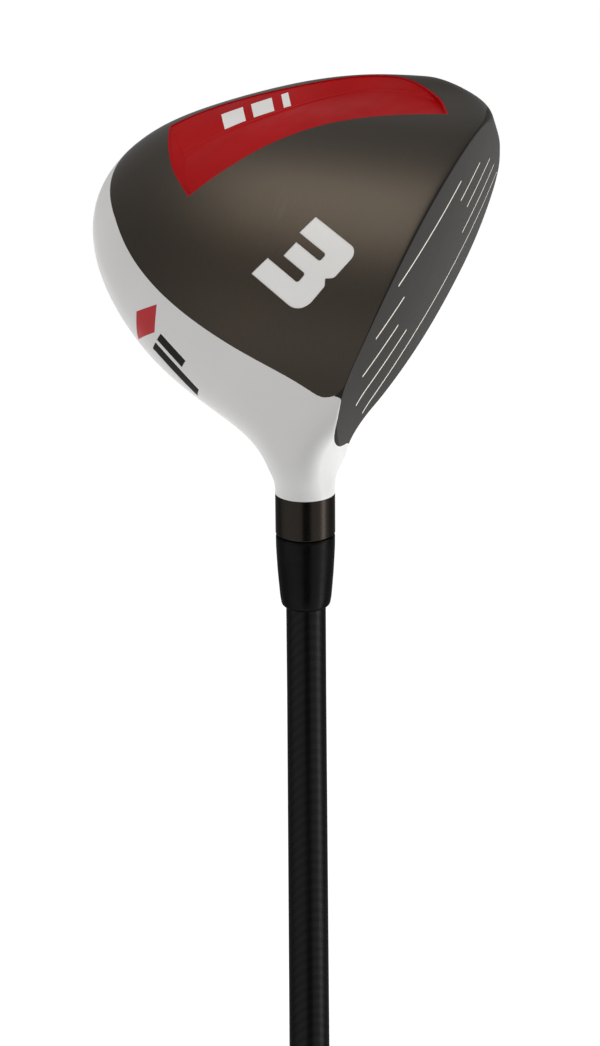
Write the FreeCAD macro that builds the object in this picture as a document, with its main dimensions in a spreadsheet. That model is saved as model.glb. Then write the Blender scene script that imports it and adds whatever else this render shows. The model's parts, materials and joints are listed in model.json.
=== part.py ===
import FreeCAD, Part
import math
import os
import Sketcher

# A right-handed fairway wood.
# Club frame: origin at the centre of the grip's butt face, +Z along the shaft axis to the head,
# +X towards the toe side, -Y towards the target (the way the face looks).
# Head frame, used for the head pieces before they are placed: x heel to toe, y towards the
# target, z from the sole plane up to the crown, origin where the shaft axis meets the sole plane.

SIZES = [
    ("club_length", "1092", "butt face to the meeting point of shaft axis and sole plane"),
    ("lie_angle", "57", "degrees between shaft axis and sole plane"),
    ("loft_angle", "15", "degrees"),
    ("hosel_radius", "6.35", "outside of the hosel"),
    ("bore_radius", "4.4", "hosel bore"),
    ("collar_start", "37", "distance from the sole plane along the axis where the paint ends"),
    ("hosel_end", "46.2", "distance from the sole plane along the axis to the end of the hosel"),
    ("bore_end", "26", "distance from the sole plane along the axis to the bottom of the bore"),
    ("neck_solid", "30", "the neck is solid from here to the hosel's end"),
    ("tube_radius", "5.8", "outside of the bore tube inside the head"),
    ("shell_wall", "1.3", "crown, skirt and sole"),
    ("face_wall", "2.4", "striking face"),
    ("face_edge_radius", "1.2", "rounding between face, crown and sole"),
    ("bulge_radius", "340", "face curvature heel to toe"),
    ("roll_radius", "320", "face curvature sole to crown"),
    ("face_setback", "14.2", "face plane ahead of the shaft axis at the sole plane"),
    ("face_centre", "46", "heel-toe position of the face centre"),
    ("groove_width", "0.8", "score line"),
    ("groove_depth", "0.45", "score line"),
    ("mark_depth", "0.25", "paint-filled marks"),
    ("channel_depth", "1.8", "depth of the channel at its visible surface"),
    ("inlay_wall", "0.7", "thickness of the channel inlay"),
    ("channel_back", "1.2", "sole metal behind the channel"),
    ("shaft_tip_radius", "4.25", "outside"),
    ("shaft_butt_radius", "7.6", "outside"),
    ("shaft_wall", "1.1", "graphite tube"),
    ("tip_clearance", "0.5", "gap between shaft tip and bore bottom"),
    ("ferrule_length", "16.4", "trim collar against the hosel"),
    ("ferrule_end_radius", "5.45", "small end before its rounded lip"),
    ("ferrule_lip", "1.3", "rounded end"),
    ("plug_length", "8", "foam plug above the tip weight"),
    ("weight_length", "22", "brass swing-weight pin in the tip"),
    ("tape_wall", "0.3", "double-sided tape under the grip"),
    ("grip_length", "266", "rubber sleeve"),
    ("grip_butt_radius", "13.4", "outside at the butt"),
    ("grip_mouth_radius", "9.1", "outside at the mouth"),
    ("grip_neck", "30", "length of the faster taper near the butt"),
    ("grip_neck_radius", "12.7", "outside at the end of the faster taper"),
    ("cap_wall", "4", "thickness of the grip cap"),
    ("vent_radius", "1.5", "vent hole in the grip cap"),
    ("hosel_end_z", "=club_length - hosel_end", ""),
    ("collar_start_z", "=club_length - collar_start", ""),
    ("ferrule_end_z", "=hosel_end_z - ferrule_length", ""),
    ("ferrule_lip_z", "=ferrule_end_z + ferrule_lip", ""),
    ("ferrule_end_inner", "=shaft_tip_radius + 0.25", ""),
    ("bore_end_z", "=club_length - bore_end", ""),
    ("tip_z", "=bore_end_z - tip_clearance", ""),
    ("tip_inner", "=shaft_tip_radius - shaft_wall", ""),
    ("parallel_z", "=ferrule_end_z - 20", "the tip is parallel up to here"),
    ("butt_inner", "=shaft_butt_radius - shaft_wall", ""),
    ("weight_end_z", "=tip_z - weight_length", ""),
    ("plug_end_z", "=weight_end_z - plug_length", ""),
    ("grip_slope", "=(shaft_butt_radius - shaft_tip_radius) / (parallel_z - cap_wall)", ""),
    ("mouth_shaft_radius", "=shaft_butt_radius - grip_slope * (grip_length - cap_wall)", ""),
    ("mouth_tape_radius", "=mouth_shaft_radius + tape_wall", ""),
    ("butt_tape_radius", "=shaft_butt_radius + tape_wall", ""),
    ("neck_grip_z", "=cap_wall + grip_neck", ""),
    ("cap_round_radius", "=grip_butt_radius - 1", ""),
    ("cap_round_z", "1", "rounding of the butt rim"),
]

doc = FreeCAD.newDocument("fairway_wood")
sheet = doc.addObject("Spreadsheet::Sheet", "sizes")
for line, (name, value, note) in enumerate(SIZES, start=1):
    sheet.set("A%d" % line, name)
    sheet.set("B%d" % line, value)
    sheet.set("C%d" % line, note)
    sheet.setAlias("B%d" % line, name)
doc.recompute()


def size(name):
    return float(sheet.get(name))


LIE = math.radians(size("lie_angle"))
LOFT = math.radians(size("loft_angle"))
HOSEL = size("hosel_radius")

# ---------------------------------------------------------------- pieces turned about the shaft


def turned(label, corners):
    """A body of revolution about Z; each corner names a radius cell and a height cell."""
    body = doc.addObject("PartDesign::Body", label)
    body.Label = label
    plane = next(f for f in body.Origin.OriginFeatures if f.Role == "XZ_Plane")
    sketch = body.newObject("Sketcher::SketchObject", label + "_profile")
    sketch.AttachmentSupport = [(plane, "")]
    sketch.MapMode = "FlatFace"
    points = []
    for radius, height in corners:
        r = 0.0 if radius is None else size(radius)
        z = 0.0 if height is None else size(height)
        points.append(FreeCAD.Vector(r, z, 0))
    count = len(points)
    for i in range(count):
        sketch.addGeometry(Part.LineSegment(points[i], points[(i + 1) % count]))
    for i in range(count):
        sketch.addConstraint(Sketcher.Constraint("Coincident", i, 2, (i + 1) % count, 1))
    for i, (radius, height) in enumerate(corners):
        for cell, kind, start in ((radius, "DistanceX", points[i].x), (height, "DistanceY", points[i].y)):
            if cell is None:
                on_axis = -2 if kind == "DistanceX" else -1
                sketch.addConstraint(Sketcher.Constraint("PointOnObject", i, 1, on_axis))
            else:
                index = sketch.addConstraint(Sketcher.Constraint(kind, -1, 1, i, 1, start))
                sketch.setExpression("Constraints[%d]" % index, "sizes." + cell)
    turn = body.newObject("PartDesign::Revolution", label + "_turn")
    turn.Profile = sketch
    turn.ReferenceAxis = (sketch, ["V_Axis"])
    turn.Angle = 360
    return body


nodes = []

nodes.append(turned("shaft", [
    ("tip_inner", "tip_z"), ("shaft_tip_radius", "tip_z"), ("shaft_tip_radius", "parallel_z"),
    ("shaft_butt_radius", "cap_wall"), ("butt_inner", "cap_wall"), ("tip_inner", "parallel_z")]))
nodes.append(turned("ferrule", [
    ("shaft_tip_radius", "hosel_end_z"), ("hosel_radius", "hosel_end_z"),
    ("ferrule_end_radius", "ferrule_lip_z"), ("ferrule_end_inner", "ferrule_end_z"),
    ("shaft_tip_radius", "ferrule_end_z")]))
nodes.append(turned("hosel_collar", [
    ("bore_radius", "hosel_end_z"), ("hosel_radius", "hosel_end_z"),
    ("hosel_radius", "collar_start_z"), ("bore_radius", "collar_start_z")]))
nodes.append(turned("bond_sleeve", [
    ("shaft_tip_radius", "hosel_end_z"), ("bore_radius", "hosel_end_z"),
    ("bore_radius", "tip_z"), ("shaft_tip_radius", "tip_z")]))
nodes.append(turned("tip_weight", [
    (None, "weight_end_z"), ("tip_inner", "weight_end_z"), ("tip_inner", "tip_z"), (None, "tip_z")]))
nodes.append(turned("tip_plug", [
    (None, "plug_end_z"), ("tip_inner", "plug_end_z"),
    ("tip_inner", "weight_end_z"), (None, "weight_end_z")]))
nodes.append(turned("grip_tape", [
    ("shaft_butt_radius", "cap_wall"), ("butt_tape_radius", "cap_wall"),
    ("mouth_tape_radius", "grip_length"), ("mouth_shaft_radius", "grip_length")]))
nodes.append(turned("grip_sleeve", [
    ("butt_tape_radius", "cap_wall"), ("grip_butt_radius", "cap_wall"),
    ("grip_neck_radius", "neck_grip_z"), ("grip_mouth_radius", "grip_length"),
    ("mouth_tape_radius", "grip_length")]))
nodes.append(turned("grip_cap", [
    ("vent_radius", None), ("cap_round_radius", None), ("grip_butt_radius", "cap_round_z"),
    ("grip_butt_radius", "cap_wall"), ("vent_radius", "cap_wall")]))

# ---------------------------------------------------------------- outer form of the head

# The head is drawn as a net of cross-sections that starts round at the hosel, fans about a
# pivot above the crown through the neck, and then runs as upright sections to the toe.
PIVOT_X = -4.0
PIVOT_Z = 44.0
FAN_START = 213.0
PIVOT_TO_AXIS = PIVOT_X * math.sin(LIE) + PIVOT_Z * math.cos(LIE)
INNER = PIVOT_TO_AXIS - HOSEL
OUTER = PIVOT_TO_AXIS + HOSEL
PIVOT_ALONG = PIVOT_Z * math.sin(LIE) - PIVOT_X * math.cos(LIE)
ROUND = 24

# (kind, position, top, bottom, front, rear, squareness)
# "hosel": position along the shaft axis;  "fan": angle about the pivot;  "body": heel-toe x.
# Top and bottom of the first two kinds are distances from the pivot.
SECTIONS = [
    ("hosel", PIVOT_ALONG + 12, INNER, OUTER, HOSEL, -HOSEL, 0.0),
    ("hosel", PIVOT_ALONG + 8, INNER, OUTER, HOSEL, -HOSEL, 0.0),
    ("hosel", PIVOT_ALONG + 4, INNER, OUTER, HOSEL, -HOSEL, 0.0),
    ("fan", FAN_START, INNER, OUTER, HOSEL, -HOSEL, 0.0),
    ("fan", 223, 14.3, 27.6, 6.15, -6.5, 0.05),
    ("fan", 234, 14.3, 29.2, 6.0, -8.8, 0.2),
    ("fan", 245, 14.3, 29.6, 6.7, -14.5, 0.4),
    ("fan", 257, 14.3, 29.5, 10.2, -26.0, 0.7),
    ("body", -2, 32.2, 12.0, 16.0, -42.0, 0.9),
    ("body", 9, 36.2, 6.0, 21.0, -57.0, 1.0),
    ("body", 21, 38.8, 1.5, 24.0, -68.0, 1.0),
    ("body", 34, 41.0, -0.8, 25.0, -74.5, 1.0),
    ("body", 47, 42.0, -0.2, 25.0, -75.9, 1.0),
    ("body", 60, 42.9, 2.4, 22.4, -72.7, 1.0),
    ("body", 70.6, 42.2, 6.8, 16.2, -65.4, 1.0),
    ("body", 81, 38.6, 11.5, 6.6, -54.5, 1.0),
    ("body", 86.3, 31.4, 12.4, -6.2, -39.0, 1.0),
    ("body", 88.4, 23.2, 15.8, -13.4, -25.0, 1.0),
]
TOE_POINT = (88.4, -19.0, 19.2)
CROWN_FALL = 0.40
SOLE_RISE = 3.0
NET_SWELL = (2 + math.cos(2 * math.pi / ROUND)) / 3


def signed_power(value, power):
    return math.copysign(abs(value) ** power, value)


def section_points(section, inset):
    kind, at, top, bottom, front, rear, square = section
    front -= inset
    rear += inset
    if kind == "body":
        high, low = top - inset, bottom + inset
        at -= inset * max(0.0, min(1.0, (at - 70) / 18.0))
    else:
        high, low = -top - inset, -bottom + inset
    height = high - low
    points = []
    for step in range(ROUND):
        turn = 2 * math.pi * step / ROUND
        power = 2 / (2 + square * (5.0 if math.cos(turn) >= 0 else 0.45))
        eta = signed_power(math.cos(turn), power)
        full = abs(math.sin(turn)) ** power
        back = (1 - eta) / 2
        middle = low + height * (0.5 - 0.14 * square * back)
        crown = high - square * CROWN_FALL * height * back ** 2
        sole = low + square * SOLE_RISE * back ** 2
        if math.sin(turn) >= 0:
            level = middle + (crown - middle) * full
        else:
            level = middle - (middle - sole) * full
        y = (front + rear) / 2 + (front - rear) / 2 * eta / NET_SWELL
        level = (high + low) / 2 + (level - (high + low) / 2) / NET_SWELL
        if kind == "body":
            points.append(FreeCAD.Vector(at, y, level))
            continue
        angle = math.radians(at if kind == "fan" else FAN_START)
        along = at - PIVOT_ALONG if kind == "hosel" else 0.0
        x = PIVOT_X - along * math.cos(LIE) - level * math.cos(angle)
        z = PIVOT_Z + along * math.sin(LIE) - level * math.sin(angle)
        points.append(FreeCAD.Vector(x, y, z))
    return points


def skin(inset):
    """The head's outer form as a solid, moved inwards by inset."""
    net = [section_points(section, inset) for section in SECTIONS]
    toe = FreeCAD.Vector(TOE_POINT[0] - inset, TOE_POINT[1], TOE_POINT[2])
    net.append([toe] * ROUND)
    spans = len(net) - 3
    surface = Part.BSplineSurface()
    surface.buildFromPolesMultsKnots(
        net, [4] + [1] * (spans - 1) + [4], [1] * (ROUND + 1),
        [float(k) for k in range(spans + 1)], [float(k) for k in range(ROUND + 1)],
        False, True, 3, 3)
    patches = []
    for start, end in ((0, ROUND / 2), (ROUND / 2, ROUND)):
        patch = surface.copy()
        patch.segment(0, spans, start, end)
        patches.append(patch)
    rims = [patch.uIso(0).toShape() for patch in patches]
    end_face = Part.Face(Part.Wire(rims))
    shell = Part.Shell([patch.toShape() for patch in patches] + [end_face])
    shell.sewShape()
    solid = Part.Solid(shell)
    if solid.Volume < 0:
        solid.reverse()
    return solid


def face_y(x, z):
    """The striking face, with a concave sweep out to the neck at the heel end."""
    plane = size("face_setback") - math.tan(LOFT) * z
    bulge = (x - size("face_centre")) ** 2 / (2 * size("bulge_radius"))
    roll = ((z - 18) ** 2 - 18 ** 2) / (2 * size("roll_radius"))
    heel = max(0.0, -2.5 - 0.957 * x + 0.291 * z)
    return plane - bulge - roll + 0.0145 * heel ** 2


def ahead_of_face(setback):
    """Everything ahead of the face surface moved back by setback."""
    grid = []
    for i in range(34):
        x = -50.0 + 5.0 * i
        grid.append([FreeCAD.Vector(x, face_y(x, z) - setback, z) for z in range(-30, 91, 8)])
    surface = Part.BSplineSurface()
    surface.interpolate(grid)
    return surface.toShape().extrude(FreeCAD.Vector(0, 120, 0))


def axis_point(distance):
    """The point on the shaft axis this far from the sole plane, in the head frame."""
    return FreeCAD.Vector(-distance * math.cos(LIE), 0, distance * math.sin(LIE))


def along_axis(radius, start, end):
    direction = FreeCAD.Vector(-math.cos(LIE), 0, math.sin(LIE))
    return Part.makeCylinder(radius, end - start, axis_point(start), direction)


def upright_prism(outline, low, high):
    """A closed outline in plan, points joined smoothly, standing between two levels."""
    points = [FreeCAD.Vector(x, y, low) for x, y in outline]
    curve = Part.BSplineCurve()
    curve.interpolate(points, True)
    return Part.Face(Part.Wire([curve.toShape()])).extrude(FreeCAD.Vector(0, 0, high - low))


def rounded_outline(corners):
    """Straight sides joined by arcs; each corner is a point and the radius of its rounding."""
    arcs = []
    for i, (corner, radius) in enumerate(corners):
        before = (corners[i - 1][0] - corner).normalize()
        after = (corners[(i + 1) % len(corners)][0] - corner).normalize()
        half = before.getAngle(after) / 2
        inward = (before + after).normalize()
        reach = radius / math.tan(half)
        middle = corner + inward * (radius / math.sin(half) - radius)
        arcs.append((corner + before * reach, middle, corner + after * reach))
    edges = []
    for i, (start, middle, end) in enumerate(arcs):
        if corners[i][1] > 0:
            edges.append(Part.Arc(start, middle, end).toShape())
        edges.append(Part.LineSegment(end, arcs[(i + 1) % len(arcs)][0]).toShape())
    return Part.Wire(edges)


def tilted_prism(outline, origin, across, up, depth):
    """An outline drawn in a tilted plane and pushed both ways along its normal.

    Each corner of the outline is (across, up) or, where it is rounded, (across, up, radius).
    """
    normal = across.cross(up)
    start = origin - normal * depth
    corners = []
    for corner in outline:
        radius = corner[2] if len(corner) == 3 else 0.0
        corners.append((start + across * corner[0] + up * corner[1], radius))
    return Part.Face(rounded_outline(corners)).extrude(normal * (2 * depth))


# ---------------------------------------------------------------- head solids

WALL = size("shell_wall")
FACE_WALL = size("face_wall")
MARK = size("mark_depth")

beyond_neck = along_axis(30, size("collar_start"), 90)
beyond_solid = along_axis(30, size("neck_solid"), 90)
bore = along_axis(size("bore_radius"), size("bore_end"), 90)

outer = skin(0).cut(ahead_of_face(0))
face_edges = [edge for edge in outer.Edges if edge.Length > 60]
outer = outer.makeFillet(size("face_edge_radius"), face_edges).cut(beyond_neck)
cavity = skin(WALL).cut(ahead_of_face(FACE_WALL)).cut(beyond_solid)

# The sole's edge: level along the rear, sweeping up to the heel and less so to the toe.
EDGE_LOW = 6.9
EDGE_LOW_X = 27.0
HEEL_EDGE_X = -8.0
TOE_EDGE_RISE = 9.5
TOE_EDGE_REACH = 55.0


def sole_edge(x):
    if x < EDGE_LOW_X:
        return EDGE_LOW + 0.0254 * (EDGE_LOW_X - max(x, HEEL_EDGE_X)) ** 1.6
    share = min(1.0, (x - EDGE_LOW_X) / TOE_EDGE_REACH)
    return EDGE_LOW + TOE_EDGE_RISE * (1 - math.cos(math.pi * share)) / 2


edge_points = [FreeCAD.Vector(x, -100, sole_edge(x)) for x in range(-40, 111, 6)]
edge_curve = Part.BSplineCurve()
edge_curve.interpolate(edge_points)
edge_start = edge_points[0]
edge_end = edge_points[-1]
drop = FreeCAD.Vector(0, 0, -60)
under = Part.makePolygon([edge_end, edge_end + drop, edge_start + drop, edge_start])
below_edge = Part.Face(Part.Wire([edge_curve.toShape()] + under.Edges))
below_edge = below_edge.extrude(FreeCAD.Vector(0, 160, 0))

# The striking face ends at the heel in a rounded tip that wraps on to the neck.
HEEL_TIP = [(-4.7, -25), (-4.9, 5), (-5.3, 10.5), (-6.5, 13.6), (-8.6, 15.4), (-11.6, 17.0), (-13.4, 18.8),
            (-13.8, 20.8), (-12.8, 23), (-10, 26.2), (-7, 29.4), (-5.4, 33.5), (-4.8, 42), (-4.6, 60)]
tip_points = [FreeCAD.Vector(x, -60, z) for x, z in HEEL_TIP]
tip_curve = Part.BSplineCurve()
tip_curve.interpolate(tip_points)
toe_side = [tip_points[-1], FreeCAD.Vector(120, -60, 60), FreeCAD.Vector(120, -60, -25), tip_points[0]]
face_region = Part.Face(Part.Wire([tip_curve.toShape()] + Part.makePolygon(toe_side).Edges))
face_region = face_region.extrude(FreeCAD.Vector(0, 120, 0))

face_slab = ahead_of_face(FACE_WALL).common(face_region)

# The channel: a band in the toe-rear of the sole, red inlay on thicker sole metal.
CHANNEL_HEEL_EDGE = [(31.7, -44.1), (39.8, -38.5), (50.2, -31.0), (58.9, -21.8), (64.8, -10.6), (68.6, 2.9)]
CHANNEL_TOE_EDGE = [(68.6, 2.9), (75.9, -2.9), (81.6, -10.5), (84.6, -17.4), (85.1, -24.0), (82.8, -33.4),
                    (78.6, -42.2), (72.6, -51.0), (65.4, -58.0), (57.5, -63.9)]
CHANNEL_REAR_EDGE = [(57.5, -63.9), (48.3, -58.4), (39.4, -52.0), (31.7, -44.1)]
# The floor is the sole's own form moved into the head and outwards, so the channel is deep
# along its heel side and runs out at its toe side.
FLOOR_SHIFT = FreeCAD.Vector(0.9, -0.7, 1.0).normalize() * (size("channel_depth") * 1.2)


def smooth_edge(points):
    curve = Part.BSplineCurve()
    curve.interpolate([FreeCAD.Vector(x, y, -20) for x, y in points])
    return curve.toShape()


def moved_out(loop, distance):
    """The corners of a clockwise outline moved outwards so that its sides shift by distance."""
    moved = []
    for i, (x, y) in enumerate(loop):
        before = FreeCAD.Vector(loop[i - 1][1] - y, x - loop[i - 1][0], 0).normalize()
        after_x, after_y = loop[(i + 1) % len(loop)]
        after = FreeCAD.Vector(y - after_y, after_x - x, 0).normalize()
        out = (before + after).normalize()
        reach = distance / out.dot(before)
        moved.append((x + reach * out.x, y + reach * out.y))
    return moved


def channel_prism(widen):
    loop = moved_out(CHANNEL_HEEL_EDGE + CHANNEL_TOE_EDGE[1:] + CHANNEL_REAR_EDGE[1:-1], widen)
    toe_start = len(CHANNEL_HEEL_EDGE) - 1
    rear_start = toe_start + len(CHANNEL_TOE_EDGE) - 1
    sides = [loop[:toe_start + 1], loop[toe_start:rear_start + 1], loop[rear_start:] + loop[:1]]
    outline = Part.Wire([smooth_edge(side) for side in sides])
    return Part.Face(outline).extrude(FreeCAD.Vector(0, 0, 40)).common(below_edge)


def channel_floor(inset):
    return skin(inset).translated(FLOOR_SHIFT)


INLAY_WALL = size("inlay_wall")
recess = channel_prism(0)
pocket = recess.cut(channel_floor(INLAY_WALL))
channel_inlay = recess.common(channel_floor(0)).common(outer).cut(channel_floor(INLAY_WALL))
sole_back = channel_prism(WALL).common(skin(WALL / 2))
cavity = cavity.cut(sole_back.cut(channel_floor(INLAY_WALL + size("channel_back"))))

metal = outer.cut(cavity).cut(bore)
face_plate = metal.common(face_slab)
rest = metal.cut(face_slab)
sole_plate = rest.common(below_edge).cut(pocket)
crown_shell = rest.cut(below_edge)

bore_tube = along_axis(size("tube_radius"), size("bore_end") - 4, size("neck_solid"))
bore_tube = bore_tube.common(cavity).cut(bore)

# ---------------------------------------------------------------- marks on the outside

groove_layer = ahead_of_face(size("groove_depth"))
paint_layer = groove_layer.cut(ahead_of_face(size("groove_depth") - 0.15))

# (height at the face centre, [(heel end, toe end), ...]); each row rises slightly to the toe.
SCORE_ROWS = [
    (9.0, [(19.5, 52.5)]),
    (15.0, [(9.0, 22.0), (52.0, 64.5)]),
    (21.1, [(3.0, 19.0), (56.0, 72.0)]),
    (27.1, [(-0.5, 23.0), (53.5, 76.0)]),
    (33.2, [(2.5, 79.5)]),
]
ROW_SLOPE = 0.05
slots = []
for level, spans in SCORE_ROWS:
    for heel_end, toe_end in spans:
        width = size("groove_width")
        start = FreeCAD.Vector(heel_end, -30, level + ROW_SLOPE * (heel_end - size("face_centre")))
        slot = Part.makeBox(toe_end - heel_end, 80, width, start - FreeCAD.Vector(0, 0, width / 2))
        slot.rotate(start, FreeCAD.Vector(0, 1, 0), -math.degrees(math.atan(ROW_SLOPE)))
        slots.append(slot)
grooves = Part.makeCompound([slot.common(groove_layer).common(outer) for slot in slots])
score_paint = Part.makeCompound([slot.common(paint_layer).common(outer) for slot in slots])
face_plate = face_plate.cut(grooves)

mark_layer = outer.cut(skin(MARK))


def mark(outlines, origin, across, up, depth):
    """Marks let into the outer surface."""
    across.normalize()
    up = (up - across * across.dot(up)).normalize()
    pieces = [tilted_prism(outline, origin, across, up, depth) for outline in outlines]
    return [piece.common(mark_layer) for piece in pieces]


# The club number on the sole: a plain block 3 with rounded bowls.
NUMBER = [(-8.2, -9.1), (8.3, -9.1, 4.0), (8.3, -1.2, 1.2), (7.1, 0.1), (8.7, 1.4, 1.2), (8.7, 9.1, 2.6),
          (-6.2, 9.1), (-6.2, 4.2), (3.0, 4.2, 0.6), (3.0, 2.2, 0.6), (-5.0, 2.2), (-5.0, -1.8),
          (2.4, -1.8, 0.6), (2.4, -4.3, 0.6), (-7.7, -4.3)]
sole_number = mark([NUMBER], FreeCAD.Vector(19.0, -9.6, 3.4), FreeCAD.Vector(-6.5, 13.0, 2.3),
                   FreeCAD.Vector(13.4, 10.4, -4.2), 8)

# Plain marks: a diamond and two bars on the skirt.
SKIRT_DIAMOND = [(-1.0, -4.8), (2.8, 0), (-1.0, 4.8), (-4.8, 0)]
SKIRT_BARS = [[(4.4, -0.9), (14.2, -0.9), (14.2, 0.8), (4.4, 0.8)],
              [(4.4, 1.5), (21.2, 1.5), (21.2, 3.1), (4.4, 3.1)]]
skirt_at = FreeCAD.Vector(4.3, -44.8, 13.9)
skirt_along = FreeCAD.Vector(-10.4, 17.2, 3.6)
skirt_up = FreeCAD.Vector(-2.2, -6.6, 3.7)
skirt_diamond = mark([SKIRT_DIAMOND], skirt_at, skirt_along, skirt_up, 6)
skirt_bars = mark(SKIRT_BARS, skirt_at, skirt_along, skirt_up, 6)

# Three slanted bars painted on the toe side of the channel, each narrower than the last.
CHANNEL_BARS = [(0.3, 5.3), (7.6, 5.0), (14.9, 1.7)]
BAR_HALF = 3.5
BAR_SLANT = 0.8
channel_layer = recess.common(channel_floor(0)).common(outer).cut(channel_floor(MARK))
channel_bars = []
for start, width in CHANNEL_BARS:
    outline = [(start - BAR_SLANT, -BAR_HALF), (start + width - BAR_SLANT, -BAR_HALF),
               (start + width + BAR_SLANT, BAR_HALF), (start + BAR_SLANT, BAR_HALF)]
    bar = tilted_prism(outline, FreeCAD.Vector(60.1, -51.0, 9.0), FreeCAD.Vector(0.76, 0.65, 0),
                       FreeCAD.Vector(0.65, -0.76, 0), 10)
    channel_bars.append(bar.common(channel_layer))
channel_inlay = channel_inlay.cut(Part.makeCompound(channel_bars))

sole_plate = sole_plate.cut(Part.makeCompound(sole_number))
crown_shell = crown_shell.cut(Part.makeCompound(skirt_diamond + skirt_bars))

# ---------------------------------------------------------------- pieces inside the head

# A steel pad welded low at the rear, the weld bead behind the face, a pad of hot-melt glue.
PAD = [(30, -58), (45, -63), (58, -60), (56, -50), (43, -52), (32, -48)]
pad_metal = skin(WALL).cut(skin(WALL + 4)).common(upright_prism(PAD, -10, 12)).common(below_edge)
weight_pad = pad_metal.common(cavity)
weld_root = ahead_of_face(FACE_WALL + 1.2).cut(ahead_of_face(FACE_WALL))
toe_of_neck = Part.makeBox(100, 80, 80, FreeCAD.Vector(6, -40, -20))
weld_bead = weld_root.common(skin(WALL).cut(skin(WALL + 1.2))).common(toe_of_neck)
GLUE = [(22, -20), (28, -27), (37, -22), (35, -13), (26, -12)]
glue_blob = Part.makeSphere(9, FreeCAD.Vector(30, -20, 5)).common(upright_prism(GLUE, -10, 14))
glue_pad = glue_blob.common(cavity).cut(skin(WALL + 3))

# ---------------------------------------------------------------- placing, checking, writing

HEAD_PIECES = {
    "crown_shell": crown_shell,
    "sole_plate": sole_plate,
    "face_plate": face_plate,
    "score_paint": score_paint,
    "channel_inlay": channel_inlay,
    "channel_bars": Part.makeCompound(channel_bars),
    "sole_number": Part.makeCompound(sole_number),
    "skirt_diamond": Part.makeCompound(skirt_diamond),
    "skirt_bars": Part.makeCompound(skirt_bars),
    "bore_tube": bore_tube,
    "weight_pad": weight_pad,
    "weld_bead": weld_bead,
    "glue_pad": glue_pad,
}
head_axes = FreeCAD.Matrix(
    math.sin(LIE), 0, math.cos(LIE), 0,
    0, -1, 0, 0,
    math.cos(LIE), 0, -math.sin(LIE), size("club_length"),
    0, 0, 0, 1)
for name, shape in HEAD_PIECES.items():
    feature = doc.addObject("Part::Feature", name)
    feature.Label = name
    feature.Shape = shape
    feature.Placement = FreeCAD.Placement(head_axes)
    nodes.append(feature)

doc.recompute()
for item in doc.Objects:
    for word in item.State:
        if word in ("Invalid", "Error"):
            raise RuntimeError("%s is %s" % (item.Name, word))
for node in nodes:
    if node.Shape.isNull() or not node.Shape.isValid():
        raise RuntimeError("%s has no valid solid" % node.Label)

os.makedirs("parts", exist_ok=True)
for node in nodes:
    node.Shape.exportStep("parts/%s.step" % node.Label)
    print(node.Label, round(node.Shape.Volume, 1))
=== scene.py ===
import json
import math

import bpy
import numpy as np
from mathutils import Matrix, Vector


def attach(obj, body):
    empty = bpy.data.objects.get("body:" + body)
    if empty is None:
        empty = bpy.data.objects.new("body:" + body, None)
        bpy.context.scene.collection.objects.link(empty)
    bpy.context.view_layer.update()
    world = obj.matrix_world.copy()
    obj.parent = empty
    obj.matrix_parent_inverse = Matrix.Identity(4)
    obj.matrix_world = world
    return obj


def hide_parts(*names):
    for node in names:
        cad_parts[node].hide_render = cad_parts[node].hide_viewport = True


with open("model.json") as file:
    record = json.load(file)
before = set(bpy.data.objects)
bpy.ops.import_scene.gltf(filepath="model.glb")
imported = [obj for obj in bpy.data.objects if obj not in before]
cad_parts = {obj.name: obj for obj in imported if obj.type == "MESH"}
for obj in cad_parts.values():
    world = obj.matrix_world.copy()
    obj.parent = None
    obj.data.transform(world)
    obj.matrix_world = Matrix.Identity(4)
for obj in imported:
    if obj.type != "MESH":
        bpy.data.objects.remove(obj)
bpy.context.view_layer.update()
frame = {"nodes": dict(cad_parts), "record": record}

# Row frame in metres: origin at the butt, +Z along the shaft to the head, +X towards the toe,
# -Y towards the target. The head is worked out in millimetres in its own frame (x heel to toe,
# y towards the target, z sole to crown) and placed with head_to_row.

MM = 0.001
LIE = math.radians(57)
LOFT = math.radians(15)
HOSEL = 6.35
CLUB_LENGTH = 1092.0
COLLAR_START = 37.0
HOSEL_END = 46.2
AXIS = np.array([-math.cos(LIE), 0.0, math.sin(LIE)])


def head_to_row(points):
    """Head millimetres to row metres."""
    x, y, z = points[:, 0], points[:, 1], points[:, 2]
    return MM * np.stack([
        x * math.sin(LIE) + z * math.cos(LIE),
        -y,
        CLUB_LENGTH + x * math.cos(LIE) - z * math.sin(LIE)], 1)


def turn_to_row(normals):
    """Directions in the head's frame to directions in the row frame."""
    x, y, z = normals[:, 0], normals[:, 1], normals[:, 2]
    return np.stack([
        x * math.sin(LIE) + z * math.cos(LIE),
        -y,
        x * math.cos(LIE) - z * math.sin(LIE)], 1)


# ------------------------------------------------------------------ materials

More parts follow.
